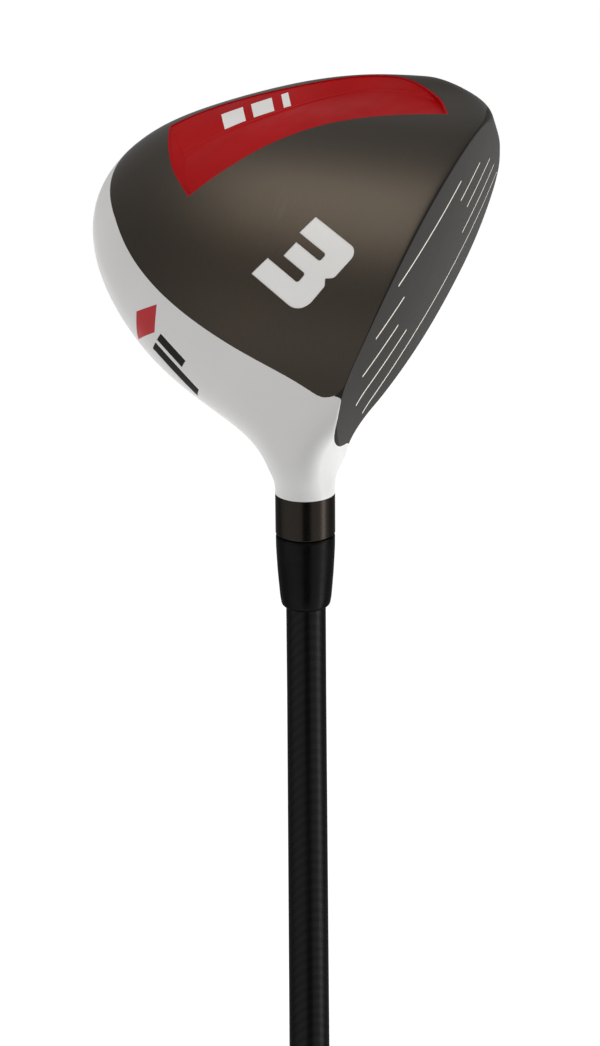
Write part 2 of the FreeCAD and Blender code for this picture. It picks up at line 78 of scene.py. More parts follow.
class Recipe:
    """Small helper that lays out shader nodes on the object's own coordinates."""

    def __init__(self, name):
        self.material = bpy.data.materials.new(name)
        self.material.use_nodes = True
        self.tree = self.material.node_tree
        self.tree.nodes.clear()
        self.out = self.node("ShaderNodeOutputMaterial")
        self.shader = self.node("ShaderNodeBsdfPrincipled")
        self.link(self.shader.outputs["BSDF"], self.out.inputs["Surface"])
        self.place = self.node("ShaderNodeTexCoord").outputs["Object"]
        self.bumped = None

    def node(self, kind, **settings):
        made = self.tree.nodes.new(kind)
        for key, value in settings.items():
            setattr(made, key, value)
        return made

    def link(self, start, end):
        self.tree.links.new(start, end)

    def set(self, **values):
        for key, value in values.items():
            self.shader.inputs[key.replace("_", " ")].default_value = value

    def scaled(self, x, y, z):
        mapping = self.node("ShaderNodeMapping")
        mapping.inputs["Scale"].default_value = (x, y, z)
        self.link(self.place, mapping.inputs["Vector"])
        return mapping.outputs["Vector"]

    def noise(self, scale, detail=4.0, rough=0.55, stretch=None):
        made = self.node("ShaderNodeTexNoise")
        made.inputs["Scale"].default_value = scale
        made.inputs["Detail"].default_value = detail
        made.inputs["Roughness"].default_value = rough
        self.link(self.scaled(*stretch) if stretch else self.place, made.inputs["Vector"])
        return made.outputs["Fac"]

    def ramp(self, source, low, high, start=0.35, end=0.65):
        made = self.node("ShaderNodeMapRange")
        made.inputs["From Min"].default_value = start
        made.inputs["From Max"].default_value = end
        made.inputs["To Min"].default_value = low
        made.inputs["To Max"].default_value = high
        self.link(source, made.inputs["Value"])
        return made.outputs["Result"]

    def mix(self, factor, first, second, blend="MIX"):
        made = self.node("ShaderNodeMix", data_type="RGBA", blend_type=blend)
        sockets = (made.inputs[0], made.inputs[6], made.inputs[7])
        for value, socket in zip((factor, first, second), sockets):
            if isinstance(value, (int, float)):
                socket.default_value = value
            elif isinstance(value, tuple):
                socket.default_value = (*value, 1.0)
            else:
                self.link(value, socket)
        return made.outputs[2]

    def bump(self, source, strength, distance):
        made = self.node("ShaderNodeBump")
        made.inputs["Strength"].default_value = strength
        made.inputs["Distance"].default_value = distance
        self.link(source, made.inputs["Height"])
        if self.bumped is not None:
            self.link(self.bumped, made.inputs["Normal"])
        self.bumped = made.outputs["Normal"]
        self.link(self.bumped, self.shader.inputs["Normal"])

    def wear(self):
        """High in sparse rubbed patches and along fine scratches."""
        patches = self.ramp(self.noise(14.0, 8.0, 0.65), 0.0, 1.0, 0.60, 0.72)
        scratches = self.ramp(self.noise(90.0, 3.0, 0.6, (1.0, 9.0, 1.0)), 0.0, 1.0, 0.66, 0.74)
        return self.mix(scratches, patches, (1.0, 1.0, 1.0))

    def colour(self, socket):
        self.link(socket, self.shader.inputs["Base Color"])

    def roughness(self, socket):
        self.link(socket, self.shader.inputs["Roughness"])


def painted(name, light, dark, rough, coat, specular=0.5):
    """Sprayed paint: slight cloudiness, orange peel, tiny specks, dulled where it is handled."""
    r = Recipe(name)
    cloud = r.ramp(r.noise(35.0, 3.0), 0.0, 1.0)
    base = r.mix(cloud, light, dark)
    speck = r.ramp(r.noise(2600.0, 1.0, 0.4), 0.0, 0.12, 0.66, 0.78)
    base = r.mix(speck, base, tuple(0.72 * c for c in dark))
    r.colour(base)
    r.roughness(r.ramp(r.noise(120.0, 5.0), rough - 0.05, rough + 0.06))
    r.bump(r.noise(900.0, 2.0, 0.4), 0.05, 0.00006)
    r.set(Coat_Weight=coat, Coat_Roughness=0.18, Specular_IOR_Level=specular)
    return r.material


def satin_metal(name, base, rough, grain=(60.0, 60.0, 60.0), tint=(0.9, 0.85, 0.8), metallic=0.9,
                specular=0.5, rim=1.0):
    """Tinted satin metal: blasted grain, faint brushed streaks, rubbed patches and scratches."""
    r = Recipe(name)
    streak = r.noise(26.0, 6.0, 0.6, grain)
    cloud = r.noise(22.0, 3.0)
    warm = tuple(b * t * 1.12 for b, t in zip(base, tint))
    cool = tuple(b * 0.9 for b in base)
    body = r.mix(r.ramp(cloud, 0.0, 1.0), warm, cool)
    body = r.mix(r.ramp(streak, 0.0, 0.5), body, tuple(0.8 * b for b in base))
    rubbed = tuple(min(1.0, 1.15 * b) for b in base)
    r.colour(r.mix(r.ramp(r.wear(), 0.0, 0.5, 0.0, 1.0), body, rubbed))
    r.roughness(r.ramp(r.noise(300.0, 4.0, 0.6, grain), rough - 0.05, rough + 0.07))
    r.bump(r.noise(3200.0, 2.0, 0.5), 0.12, 0.00004)
    r.set(Metallic=metallic, Specular_IOR_Level=specular, Specular_Tint=(rim, rim, rim, 1.0))
    return r.material


def moulded(name, base, rough, grain_scale=1500.0, grain=0.2, specular=0.4, metallic=0.0, rim=1.0):
    """Moulded plastic or rubber: matt mottling, fine mould grain, patches of dust."""
    r = Recipe(name)
    cloud = r.ramp(r.noise(60.0, 4.0), 0.0, 1.0)
    body = r.mix(cloud, base, tuple(0.78 * b for b in base))
    dust = r.ramp(r.noise(420.0, 6.0, 0.7), 0.0, 0.16, 0.56, 0.75)
    r.colour(r.mix(dust, body, tuple(min(1.0, 1.7 * b + 0.002) for b in base)))
    r.roughness(r.ramp(r.noise(180.0, 4.0), rough - 0.07, rough + 0.08))
    r.bump(r.noise(grain_scale, 3.0, 0.55), grain, 0.00012)
    r.set(Specular_IOR_Level=specular, Metallic=metallic, Specular_Tint=(rim, rim, rim, 1.0))
    return r.material


def lacquered_graphite(name):
    """Black lacquer over wound graphite: fine helical weave seen faintly, long polish streaks."""
    r = Recipe(name)
    wave = r.node("ShaderNodeTexWave", wave_type="BANDS", bands_direction="DIAGONAL")
    wave.inputs["Scale"].default_value = 260.0
    wave.inputs["Distortion"].default_value = 1.2
    wave.inputs["Detail"].default_value = 2.0
    r.link(r.place, wave.inputs["Vector"])
    weave = r.ramp(wave.outputs["Fac"], 0.0, 0.6)
    body = r.mix(weave, (0.0120, 0.0120, 0.0122), (0.0170, 0.0168, 0.0170))
    streak = r.ramp(r.noise(15.0, 3.0, 0.5, (1.0, 1.0, 0.2)), 0.0, 0.5)
    r.colour(r.mix(streak, body, (0.0105, 0.0105, 0.0108)))
    r.roughness(r.ramp(r.noise(240.0, 4.0, 0.5, (1.0, 1.0, 0.05)), 0.30, 0.40))
    r.bump(r.noise(500.0, 2.0, 0.5, (1.0, 1.0, 0.1)), 0.05, 0.00004)
    r.set(Specular_IOR_Level=0.12, Metallic=0.85, Specular_Tint=(0.12, 0.12, 0.12, 1.0))
    return r.material


MATERIALS = {
    "crown_paint": painted("white_satin_paint", (0.72, 0.715, 0.71), (0.68, 0.677, 0.674),
                           rough=0.42, coat=0.15),
    "sole_finish": satin_metal("smoked_satin_sole", (0.058, 0.0490, 0.0392), rough=0.36,
                               grain=(30.0, 90.0, 30.0)),
    "face_finish": satin_metal("dark_blasted_face", (0.0285, 0.0270, 0.0252), rough=0.50,
                               grain=(20.0, 20.0, 120.0), tint=(1.0, 0.98, 0.96),
                               metallic=0.15, specular=0.10, rim=0.3),
    "score_fill": painted("cream_score_paint", (0.78, 0.75, 0.66), (0.72, 0.69, 0.60),
                          rough=0.5, coat=0.0),
    "channel_red": painted("red_gloss_paint", (0.48, 0.0015, 0.0035), (0.41, 0.001, 0.003),
                           rough=0.42, coat=0.0, specular=0.06),
    "mark_white": painted("white_mark_paint", (0.93, 0.92, 0.91), (0.88, 0.87, 0.86),
                          rough=0.45, coat=0.0),
    "mark_red": painted("red_mark_paint", (0.50, 0.012, 0.018), (0.40, 0.010, 0.014),
                        rough=0.42, coat=0.1),
    "mark_black": painted("black_mark_paint", (0.010, 0.010, 0.010), (0.015, 0.0145, 0.0145),
                          rough=0.45, coat=0.0, specular=0.15),
    "collar_metal": satin_metal("smoked_turned_collar", (0.026, 0.0225, 0.0195), rough=0.24,
                                grain=(4.0, 4.0, 400.0), rim=0.15),
    "bare_steel": satin_metal("plain_cast_steel", (0.40, 0.39, 0.38), rough=0.45),
    "hot_melt": moulded("amber_glue", (0.42, 0.30, 0.12), rough=0.35, grain_scale=300.0, grain=0.3),
    "epoxy": moulded("grey_epoxy", (0.20, 0.20, 0.19), rough=0.40, grain_scale=700.0),
    "weight_brass": satin_metal("turned_brass", (0.52, 0.36, 0.13), rough=0.30,
                                grain=(4.0, 4.0, 300.0)),
    "plug_foam": moulded("blue_foam", (0.12, 0.20, 0.34), rough=0.85, grain_scale=900.0, grain=0.6),
    "ferrule_black": moulded("black_turned_plastic", (0.0110, 0.0110, 0.0108), rough=0.34,
                             grain_scale=900.0, grain=0.05, specular=0.12, metallic=0.85, rim=0.12),
    "shaft_black": lacquered_graphite("black_lacquered_graphite"),
    "grip_tape": moulded("cream_paper_tape", (0.50, 0.44, 0.32), rough=0.8, grain_scale=1100.0,
                         grain=0.4),
    "grip_rubber": moulded("black_rubber", (0.020, 0.020, 0.020), rough=0.72, grain_scale=2200.0,
                           grain=0.5, specular=0.3),
}

node_slots = {part["node"]: part["material_slot"] for part in frame["record"]["subparts"]}
for node_name, node_object in frame["nodes"].items():
    node_object.data.materials.clear()
    node_object.data.materials.append(MATERIALS[node_slots[node_name]])


# ------------------------------------------------------------------ making pieces

def add_piece(name, slot_name, verts, faces, nodes, normals=None, sharp=None):
    """Makes a smooth-shaded piece on the club's one body, in place of the CAD nodes."""
    mesh = bpy.data.meshes.new(name)
    verts = np.asarray(verts, np.float64)
    faces = np.asarray(faces, np.int64)
    corners = faces.shape[1]
    mesh.vertices.add(len(verts))
    mesh.vertices.foreach_set("co", verts.astype(np.float32).ravel())
    mesh.loops.add(len(faces) * corners)
    mesh.loops.foreach_set("vertex_index", faces.astype(np.int32).ravel())
    mesh.polygons.add(len(faces))
    starts = np.arange(0, len(faces) * corners, corners, dtype=np.int32)
    mesh.polygons.foreach_set("loop_start", starts)
    mesh.update(calc_edges=True)
    mesh.validate()
    mesh.polygons.foreach_set("use_smooth", np.ones(len(mesh.polygons), bool))
    if sharp is not None:
        mesh.set_sharp_from_angle(angle=math.radians(sharp))
    if normals is not None:
        mesh.normals_split_custom_set_from_vertices([tuple(n) for n in normals])
    mesh.materials.append(MATERIALS[slot_name])
    piece = bpy.data.objects.new(name, mesh)
    bpy.context.scene.collection.objects.link(piece)
    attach(piece, "root")
    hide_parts(*nodes)


def turned_piece(name, slot_name, profile, nodes, around=128, sharp=28):
    """A smooth turned piece about the shaft axis; profile is (radius, height) in millimetres."""
    angles = 2 * np.pi * np.arange(around) / around
    rings = []
    for radius, height in profile:
        rings.append(np.stack([radius * np.cos(angles), radius * np.sin(angles),
                               np.full(around, height)], 1))
    verts = MM * np.concatenate(rings)
    faces = []
    for k in range(len(profile) - 1):
        low = k * around + np.arange(around)
        high = low + around
        beside = k * around + (np.arange(around) + 1) % around
        faces.append(np.stack([low, beside, beside + around, high], 1))
    add_piece(name, slot_name, verts, np.concatenate(faces), nodes, sharp=sharp)


def rounded(corners, radius, steps=5):
    """A profile with each of its corners but the ends rounded by a short curve."""
    path = [corners[0]]
    for before, corner, after in zip(corners, corners[1:], corners[2:]):
        before, corner, after = (np.array(p, float) for p in (before, corner, after))
        into = corner - before
        out = after - corner
        reach = min(radius, 0.45 * np.linalg.norm(into), 0.45 * np.linalg.norm(out))
        start = corner - into / np.linalg.norm(into) * reach
        end = corner + out / np.linalg.norm(out) * reach
        for k in range(steps + 1):
            t = k / steps
            path.append(tuple((1 - t) ** 2 * start + 2 * t * (1 - t) * corner + t ** 2 * end))
    path.append(corners[-1])
    return path


# ------------------------------------------------------------------ the head's outer form

PIVOT = (-4.0, 44.0)
FAN_START = 213.0
PIVOT_TO_AXIS = PIVOT[0] * math.sin(LIE) + PIVOT[1] * math.cos(LIE)
INNER = PIVOT_TO_AXIS - HOSEL
OUTER = PIVOT_TO_AXIS + HOSEL
PIVOT_ALONG = PIVOT[1] * math.sin(LIE) - PIVOT[0] * math.cos(LIE)
ROUND = 24

# Sections from the hosel's end to the toe: kind, place, top, bottom, front, rear, squareness.
# A body section stands at x = place. A fan section is turned about the pivot by an angle of place
# degrees, and a hosel section lies across the hosel at a distance of place along its axis; for
# both, top and bottom are distances from the pivot.
SECTIONS = [
    ("hosel", PIVOT_ALONG + 12, INNER, OUTER, HOSEL, -HOSEL, 0.0),
    ("hosel", PIVOT_ALONG + 8, INNER, OUTER, HOSEL, -HOSEL, 0.0),
    ("hosel", PIVOT_ALONG + 4, INNER, OUTER, HOSEL, -HOSEL, 0.0),
    ("fan", FAN_START, INNER, OUTER, HOSEL, -HOSEL, 0.0),
    ("fan", 223, 14.3, 27.6, 6.15, -6.5, 0.05),
    ("fan", 234, 14.3, 29.2, 6.0, -8.8, 0.2),
    ("fan", 245, 14.3, 29.6, 6.7, -14.5, 0.4),
    ("fan", 257, 14.3, 29.5, 10.2, -26.0, 0.7),
    ("body", -2, 32.2, 12.0, 16.0, -42.0, 0.9),
    ("body", 9, 36.2, 6.0, 21.0, -57.0, 1.0),
    ("body", 21, 38.8, 1.5, 24.0, -68.0, 1.0),
    ("body", 34, 41.0, -0.8, 25.0, -74.5, 1.0),
    ("body", 47, 42.0, -0.2, 25.0, -75.9, 1.0),
    ("body", 60, 42.9, 2.4, 22.4, -72.7, 1.0),
    ("body", 70.6, 42.2, 6.8, 16.2, -65.4, 1.0),
    ("body", 81, 38.6, 11.5, 6.6, -54.5, 1.0),
    ("body", 86.3, 31.4, 12.4, -6.2, -39.0, 1.0),
    ("body", 88.4, 23.2, 15.8, -13.4, -25.0, 1.0),
]
TOE_POINT = (88.4, -19.0, 19.2)
NET_SWELL = (2 + math.cos(2 * math.pi / ROUND)) / 3


def section_ring(kind, at, top, bottom, front, rear, square):
    """The control points of one section, starting at its front and going over its top."""
    turn = 2 * np.pi * np.arange(ROUND) / ROUND
    cosine = np.round(np.cos(turn), 12)
    sine = np.round(np.sin(turn), 12)
    power = 2 / (2 + square * np.where(cosine >= 0, 5.0, 0.45))
    eta = np.sign(cosine) * np.abs(cosine) ** power
    full = np.abs(sine) ** power
    back = (1 - eta) / 2
    high, low = (top, bottom) if kind == "body" else (-top, -bottom)
    height = high - low
    middle = low + height * (0.5 - 0.14 * square * back)
    crown = high - square * 0.40 * height * back ** 2
    sole = low + square * 3.0 * back ** 2
    level = np.where(sine >= 0, middle + (crown - middle) * full, middle - (middle - sole) * full)
    y = (front + rear) / 2 + (front - rear) / 2 * eta / NET_SWELL
    level = (high + low) / 2 + (level - (high + low) / 2) / NET_SWELL
    if kind == "body":
        return np.stack([np.full(ROUND, float(at)), y, level], 1)
    angle = math.radians(at if kind == "fan" else FAN_START)
    along = at - PIVOT_ALONG if kind == "hosel" else 0.0
    x = PIVOT[0] - along * math.cos(LIE) - level * math.cos(angle)
    z = PIVOT[1] + along * math.sin(LIE) - level * math.sin(angle)
    return np.stack([x, y, z], 1)


NET = np.array([section_ring(*s) for s in SECTIONS] + [np.tile(TOE_POINT, (ROUND, 1))])
SPANS = len(NET) - 3
KNOTS = np.concatenate([[0.0] * 3, np.arange(SPANS + 1.0), [float(SPANS)] * 3])


def skin_point(uv):
    """Points of the smooth skin before the face is cut."""
    u = np.clip(uv[:, 0], 0, SPANS - 1e-9)
    v = uv[:, 1] % ROUND
    span = np.floor(u).astype(int) + 3
    weight = [np.ones_like(u)]
    for j in range(1, 4):
        saved = np.zeros_like(u)
        for r in range(j):
            right = KNOTS[span + r + 1] - u
            left = u - KNOTS[span + 1 - (j - r)]
            share = weight[r] / (right + left)
            weight[r] = saved + right * share
            saved = left * share
        weight.append(saved)
    base = np.floor(v).astype(int)
    t = v - base
    ring = [(1 - t) ** 3 / 6, (3 * t ** 3 - 6 * t ** 2 + 4) / 6,
            (-3 * t ** 3 + 3 * t ** 2 + 3 * t + 1) / 6, t ** 3 / 6]
    points = np.zeros((len(uv), 3))
    for a in range(4):
        for b in range(4):
            pole = NET[span - 3 + a, (base - 1 + b) % ROUND]
            points += (weight[a] * ring[b])[:, None] * pole
    return points


def face_y(x, z):
    """The striking face: lofted, with bulge and roll, and eased forward at the heel."""
    heel = np.maximum(0.0, -2.5 - 0.957 * x + 0.291 * z)
    bulge = (x - 46) ** 2 / 680
    roll = ((z - 18) ** 2 - 324) / 640
    return 14.2 - math.tan(LOFT) * z - bulge - roll + 0.0145 * heel ** 2


def toe_corner(p):
    """0 over most of the head, rising smoothly to 1 at its low toe corner."""
    share = np.clip((p[:, 0] - 66) / 18, 0, 1) * np.clip((27 - p[:, 2]) / 11, 0, 1)
    return share ** 2 * (3 - 2 * share)


def edge_softness(p):
    """Width of the rounding at the face's edge, widest at the low toe corner."""
    low = np.clip((17 - p[:, 2]) / 8, 0, 1) * np.clip((p[:, 0] + 2) / 22, 0, 1)
    return 0.8 + 1.5 * low ** 2 * (3 - 2 * low) + 5.5 * toe_corner(p)


def rounded_neck(p):
    """The neck's end eased into the collar's true circle."""
    along = p @ AXIS
    share = np.clip((along - 32.0) / 4.5, 0, 1) * (p[:, 0] < -6)
    share = (share ** 2 * (3 - 2 * share))[:, None]
    radial = p - along[:, None] * AXIS
    circle = radial / np.maximum(np.linalg.norm(radial, axis=1, keepdims=True), 1e-6) * HOSEL
    return along[:, None] * AXIS + radial * (1 - share) + circle * share


def head_point(uv):
    """Points of the finished outer surface: the skin cut by the face, with a rounded edge."""
    p = rounded_neck(skin_point(uv))
    face = face_y(p[:, 0], p[:, 2])
    behind = face - p[:, 1]
    soft = edge_softness(p)
    share = np.clip(0.5 + 0.5 * behind / soft, 0, 1)
    p[:, 1] = face * (1 - share) + p[:, 1] * share - soft * share * (1 - share)
    return p


def head_normal(uv, point=head_point, step=0.004):
    """Outward unit normals."""
    uv = uv.copy()
    uv[:, 0] = np.clip(uv[:, 0], step, SPANS - 0.02)
    du = np.array([step, 0.0])
    dv = np.array([0.0, step])
    along = point(uv + du) - point(uv - du)
    across = point(uv + dv) - point(uv - dv)
    normal = np.cross(across, along)
    length = np.linalg.norm(normal, axis=1, keepdims=True)
    return normal / np.maximum(length, 1e-12)


def even_steps(values, lengths, spacing):
    """Parameter values a given arc length apart."""
    total = np.concatenate([[0], np.cumsum(lengths / spacing)])
    count = max(2, int(round(total[-1])))
    return np.interp(np.linspace(0, total[-1], count + 1), total, values)


def head_grid():
    """An even grid over the surface, finer on the front half of each section."""
    rows, columns, neck_rows = 400, 600, 60
    row_spacing, front_spacing, rear_spacing, front_end = 0.75, 0.55, 1.1, 6.3
    u = np.linspace(0, SPANS, rows)
    v = np.linspace(-ROUND / 2, ROUND / 2, columns)
    uu, vv = np.meshgrid(u, v, indexing="ij")
    p = head_point(np.stack([uu.ravel(), vv.ravel()], 1)).reshape(rows, columns, 3)
    step_u = np.linalg.norm(np.diff(p, axis=0), axis=2).max(1)
    step_v = np.linalg.norm(np.diff(p, axis=1), axis=2)[neck_rows:].max(0)
    middle = (v[1:] + v[:-1]) / 2
    spacing_v = np.where(np.abs(middle) < front_end, front_spacing, rear_spacing)
    us = even_steps(u, step_u, row_spacing)
    vs = even_steps(v, step_v, spacing_v)
    uu, vv = np.meshgrid(us, vs, indexing="ij")
    index = np.arange(len(us) * len(vs)).reshape(len(us), len(vs))
    a, b, c, d = index[:-1, :-1], index[1:, :-1], index[1:, 1:], index[:-1, 1:]
    first = np.stack([a, b, c], -1).reshape(-1, 3)
    second = np.stack([a, c, d], -1).reshape(-1, 3)
    return np.stack([uu.ravel(), vv.ravel()], 1), np.concatenate([first, second])


class Sheet:
    """Triangles on the head's surface, each with a tag, that can be divided along curves."""

    def __init__(self, uv, tris):
        self.uv = uv
        self.tris = tris
        self.tag = np.zeros(len(tris), int)
        self.at = head_point(uv)

    def divide(self, split, share_at):
        """Divides the triangles at the flagged edges; share_at gives the place along each edge."""
        todo = np.where(split.any(1))[0]
        if len(todo) == 0:
            return
        tris = self.tris[todo]
        flags = split[todo]
        ends = np.stack([tris, np.roll(tris, -1, 1)], 2)
        pairs, inverse = np.unique(np.sort(ends[flags], axis=1), axis=0, return_inverse=True)
        share = share_at(pairs[:, 0], pairs[:, 1])[:, None]
        new_uv = self.uv[pairs[:, 0]] * (1 - share) + self.uv[pairs[:, 1]] * share
        mid = np.full(flags.shape, -1)
        mid[flags] = inverse.ravel() + len(self.uv)
        count = flags.sum(1)
        made = []
        owner = []

        def corner(rows, first, k):
            return tris[rows, (first + k) % 3], mid[rows, (first + k) % 3]

        rows = np.where(count == 1)[0]
        first = flags[rows].argmax(1)
        (a, ab), (b, _), (c, _) = (corner(rows, first, k) for k in range(3))
        made += [np.stack([a, ab, c], 1), np.stack([ab, b, c], 1)]
        owner += [rows] * 2
        rows = np.where(count == 2)[0]
        first = ((~flags[rows]).argmax(1) + 2) % 3
        (a, ab), (b, _), (c, ca) = (corner(rows, first, k) for k in range(3))
        made += [np.stack([a, ab, ca], 1), np.stack([ab, b, c], 1), np.stack([ab, c, ca], 1)]
        owner += [rows] * 3
        rows = np.where(count == 3)[0]
        (a, ab), (b, bc), (c, ca) = (corner(rows, 0, k) for k in range(3))
        made += [np.stack([a, ab, ca], 1), np.stack([b, bc, ab], 1), np.stack([c, ca, bc], 1),
                 np.stack([ab, bc, ca], 1)]
        owner += [rows] * 4
        keep = ~split.any(1)
        self.tag = np.concatenate([self.tag[keep], self.tag[todo][np.concatenate(owner)]])
        self.tris = np.concatenate([self.tris[keep]] + made)
        self.uv = np.concatenate([self.uv, new_uv])
        self.at = np.concatenate([self.at, head_point(new_uv)])

    def edges_where(self, test):
        """Flags for each triangle's three edges from a test of their two end vertices."""
        return np.stack([test(self.tris[:, i], self.tris[:, (i + 1) % 3]) for i in range(3)], 1)

    def refine(self, near):
        """Halves every edge inside an area."""
        active = near(self.at)
        self.divide(self.edges_where(lambda a, b: active[a] & active[b]),
                    lambda a, b: np.full(len(a), 0.5))

    def cut(self, measure, near):
        """Divides the triangles of an area where measure changes sign."""
        active = near(self.at)
        field = np.zeros(len(self.at))
        field[active] = measure(self.at[active])
        field[np.abs(field) < 0.004] = 0.0
        crossed = self.edges_where(
            lambda a, b: active[a] & active[b] & (field[a] * field[b] < 0))
        self.divide(crossed, lambda a, b: field[a] / (field[a] - field[b]))

    def centres(self):
        """The middle of each triangle."""
        return self.at[self.tris].mean(1)


def open_edges(tris):
    """Directed edges that only one triangle uses."""
    edges = np.concatenate([tris[:, [0, 1]], tris[:, [1, 2]], tris[:, [2, 0]]])
    key = np.sort(edges, axis=1)
    _, first, count = np.unique(key, axis=0, return_index=True, return_counts=True)
    return edges[first[count == 1]]


def distance_to_path(xy, path):
    """Distance of each point to an open polyline."""
    best = np.full(len(xy), 1e9)
    for start, end in zip(path[:-1], path[1:]):
        line = end - start
        t = np.clip(((xy - start) @ line) / (line @ line), 0, 1)
        best = np.minimum(best, np.linalg.norm(xy - start - t[:, None] * line, axis=1))
    return best


def inside(xy, loop):
    """Whether each point is inside a closed polygon."""
    hit = np.zeros(len(xy), bool)
    for start, end in zip(loop, np.roll(loop, -1, axis=0)):
        if start[1] == end[1]:
            continue
        between = (xy[:, 1] > min(start[1], end[1])) & (xy[:, 1] <= max(start[1], end[1]))
        x = start[0] + (xy[:, 1] - start[1]) * (end[0] - start[0]) / (end[1] - start[1])
        hit ^= between & (xy[:, 0] < x)
    return hit


def smooth_path(points, per_span=8):
    """A smooth curve through the points (natural-ended Catmull-Rom)."""
    p = np.array(points, float)
    p = np.concatenate([[2 * p[0] - p[1]], p, [2 * p[-1] - p[-2]]])
    out = []
    for i in range(1, len(p) - 2):
        for t in np.arange(per_span) / per_span:
            out.append(0.5 * (2 * p[i] + (p[i + 1] - p[i - 1]) * t
                              + (2 * p[i - 1] - 5 * p[i] + 4 * p[i + 1] - p[i + 2]) * t ** 2
                              + (3 * p[i] - p[i - 1] - 3 * p[i + 1] + p[i + 2]) * t ** 3))
    out.append(p[-2])
    return np.array(out)


def sole_edge(x):
    """Height of the sole's paint edge, rising towards the heel and the toe."""
    heel = 6.9 + 0.0254 * np.maximum(27.0 - np.maximum(x, -8.0), 0.0) ** 1.6
    share = np.clip((x - 27.0) / 55.0, 0, 1)
    toe = 6.9 + 9.5 * (1 - np.cos(np.pi * share)) / 2
    return np.where(x < 27.0, heel, toe)


HEEL_TIP = smooth_path([
    (-4.7, -25), (-4.9, 5), (-5.3, 10.5), (-6.5, 13.6), (-8.6, 15.4), (-11.6, 17.0), (-13.4, 18.8),
    (-13.8, 20.8), (-12.8, 23), (-10, 26.2), (-7, 29.4), (-5.4, 33.5), (-4.8, 42), (-4.6, 60)])
TIP_LOOP = np.concatenate([HEEL_TIP, [(130.0, 60.0), (130.0, -25.0)]])

CHANNEL_HEEL_EDGE = smooth_path([
    (31.7, -44.1), (39.8, -38.5), (50.2, -31.0), (58.9, -21.8), (64.8, -10.6), (68.6, 2.9)])
CHANNEL_TOE_EDGE = smooth_path([
    (68.6, 2.9), (75.9, -2.9), (81.6, -10.5), (84.6, -17.4), (85.1, -24.0), (82.8, -33.4),
    (78.6, -42.2), (72.6, -51.0), (65.4, -58.0), (57.5, -63.9)])
CHANNEL_REAR = smooth_path([(57.5, -63.9), (48.3, -58.4), (39.4, -52.0), (31.7, -44.1)])
CHANNEL_LOOP = np.concatenate([CHANNEL_HEEL_EDGE, CHANNEL_TOE_EDGE[1:], CHANNEL_REAR[1:-1]])
CHANNEL_CREASE = smooth_path([
    (34.0, -62.0), (46.8, -54.1), (53.7, -50.3), (62.8, -42.0), (73.2, -33.8), (79.0, -26.5),
    (80.6, -17.8), (79.2, -9.0), (75.0, 2.0)])
HEEL_OF_CREASE = np.concatenate([CHANNEL_CREASE, [(75.0, 30.0), (0.0, 30.0), (0.0, -62.0)]])

# ------------------------------------------------------------------ dividing the surface

(BODY, BEYOND, FACE, SOLE, CROWN, CHANNEL, LIP, SCORE, NUMBER, DIAMOND, SKIRT_BAR,
 CHANNEL_BAR) = range(12)
LIP_WIDTH = 0.4
FACE_REACH = 0.2
TOE_REACH = 2.2
TIP_REACH = 2.4

sheet = Sheet(*head_grid())

# The collar end of the neck.
sheet.cut(lambda p: p @ AXIS - COLLAR_START, near=lambda p: p[:, 0] < -6)
centre = sheet.centres()
sheet.tag[(centre @ AXIS > COLLAR_START) & (centre[:, 0] < -6)] = BEYOND


# The striking face: its finish goes a little way round the edge, and further back at the low toe
# corner and at the heel tip.
def ahead_of_finish(p):
    """How far a point is ahead of the line where the face's finish ends."""
    reach = FACE_REACH * edge_softness(p) + TOE_REACH * toe_corner(p)
    tip = np.clip((-4 - p[:, 0]) / 3, 0, 1) * np.clip((p[:, 2] - 12.8) / 1.6, 0, 1)
    return p[:, 1] - face_y(p[:, 0], p[:, 2]) + reach * (1 - tip) + TIP_REACH * tip


def tip_distance(p):
    """Distance to the face's heel outline in the x-z plane, positive on the face's side."""
    xz = p[:, [0, 2]]
    return distance_to_path(xz, HEEL_TIP) * np.where(inside(xz, TIP_LOOP), 1, -1)


def near_tip(p):
    """Whether points are round the heel end of the face."""
    return (p[:, 0] < 4) & (p[:, 1] > -4) & (p[:, 2] < 46)


sheet.cut(ahead_of_finish, near=lambda p: p[:, 0] > -16)
sheet.cut(tip_distance, near=near_tip)
centre = sheet.centres()
is_face = (ahead_of_finish(centre) > 0) & inside(centre[:, [0, 2]], TIP_LOOP)
sheet.tag[is_face & (sheet.tag == BODY)] = FACE

# Sole and crown.
sheet.cut(lambda p: p[:, 2] - sole_edge(p[:, 0]), near=lambda p: ahead_of_finish(p) < 0.01)
centre = sheet.centres()
below = centre[:, 2] < sole_edge(centre[:, 0])
sheet.tag[below & (sheet.tag == BODY)] = SOLE
sheet.tag[sheet.tag == BODY] = CROWN


# The channel.
def on_sole(p):
    """Whether points are on the sole or just past its edge."""
    return p[:, 2] < sole_edge(p[:, 0]) + 1.5


def channel_distance(p):
    """Distance to the channel's outline seen from below, positive inside it."""
    xy = p[:, :2]
    edge = distance_to_path(xy, np.concatenate([CHANNEL_LOOP, CHANNEL_LOOP[:1]]))
    return edge * np.where(inside(xy, CHANNEL_LOOP), 1, -1)


def near_channel(p):
    """Whether points are in the channel or just outside it."""
    near = on_sole(p) & (p[:, 0] > 29) & (p[:, 1] > -67) & (p[:, 1] < 5)
    near[near] = channel_distance(p[near]) > -1.5
    return near


def crease_distance(p):
    """Distance to the channel's crease, positive on its heel side."""
    side = np.where(inside(p[:, :2], HEEL_OF_CREASE), 1, -1)
    return distance_to_path(p[:, :2], CHANNEL_CREASE) * side


